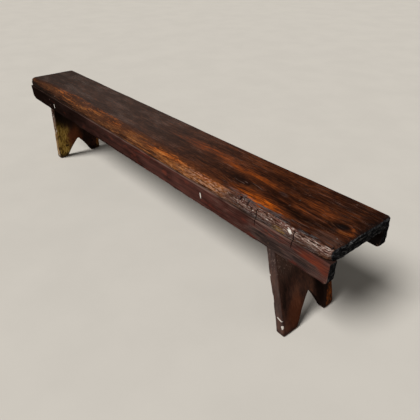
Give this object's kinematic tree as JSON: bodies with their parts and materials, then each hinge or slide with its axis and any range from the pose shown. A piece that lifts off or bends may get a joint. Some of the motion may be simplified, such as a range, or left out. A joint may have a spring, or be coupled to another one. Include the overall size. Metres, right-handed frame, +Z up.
{
  "type": "plank bench",
  "caption": "Long low plank bench: a thick worn seat nailed to outward-leaning board legs with pointed foot notches, and an apron rail along each side.",
  "frame": {"origin": "on the floor, under the middle of the seat", "axes": "+X along the seat towards the end where the worn front edge narrows most, +Y towards the back edge, +Z up"},
  "size_m": [2.1, 0.266, 0.425],
  "materials": {
    "seat_wood": "old varnish over dark stain, worn golden along the front edge",
    "front_apron_wood": "old varnish over red-brown stain",
    "rear_apron_wood": "old varnish over dark stain",
    "left_leg_wood": "dark stain with worn ochre paint",
    "right_leg_wood": "old varnish over dark stain",
    "nail_iron": "dull dark oxide"
  },
  "bodies": {
    "root": {"seat_plank": "seat_wood", "front_apron": "front_apron_wood", "rear_apron": "rear_apron_wood", "left_leg": "left_leg_wood", "right_leg": "right_leg_wood", "seat_nail_left_leg_front": "nail_iron", "seat_nail_left_leg_middle": "nail_iron", "seat_nail_left_leg_back": "nail_iron", "seat_nail_right_leg_front": "nail_iron", "seat_nail_right_leg_middle": "nail_iron", "seat_nail_right_leg_back": "nail_iron", "seat_nail_rear_apron_1": "nail_iron", "seat_nail_rear_apron_2": "nail_iron", "seat_nail_rear_apron_3": "nail_iron", "seat_nail_rear_apron_4": "nail_iron", "front_apron_nail_left_leg_lower": "nail_iron", "front_apron_nail_left_leg_upper": "nail_iron", "front_apron_nail_right_leg_lower": "nail_iron", "front_apron_nail_right_leg_upper": "nail_iron", "rear_apron_nail_left_leg_lower": "nail_iron", "rear_apron_nail_left_leg_upper": "nail_iron", "rear_apron_nail_right_leg_lower": "nail_iron", "rear_apron_nail_right_leg_upper": "nail_iron"}
  },
  "joints": []
}
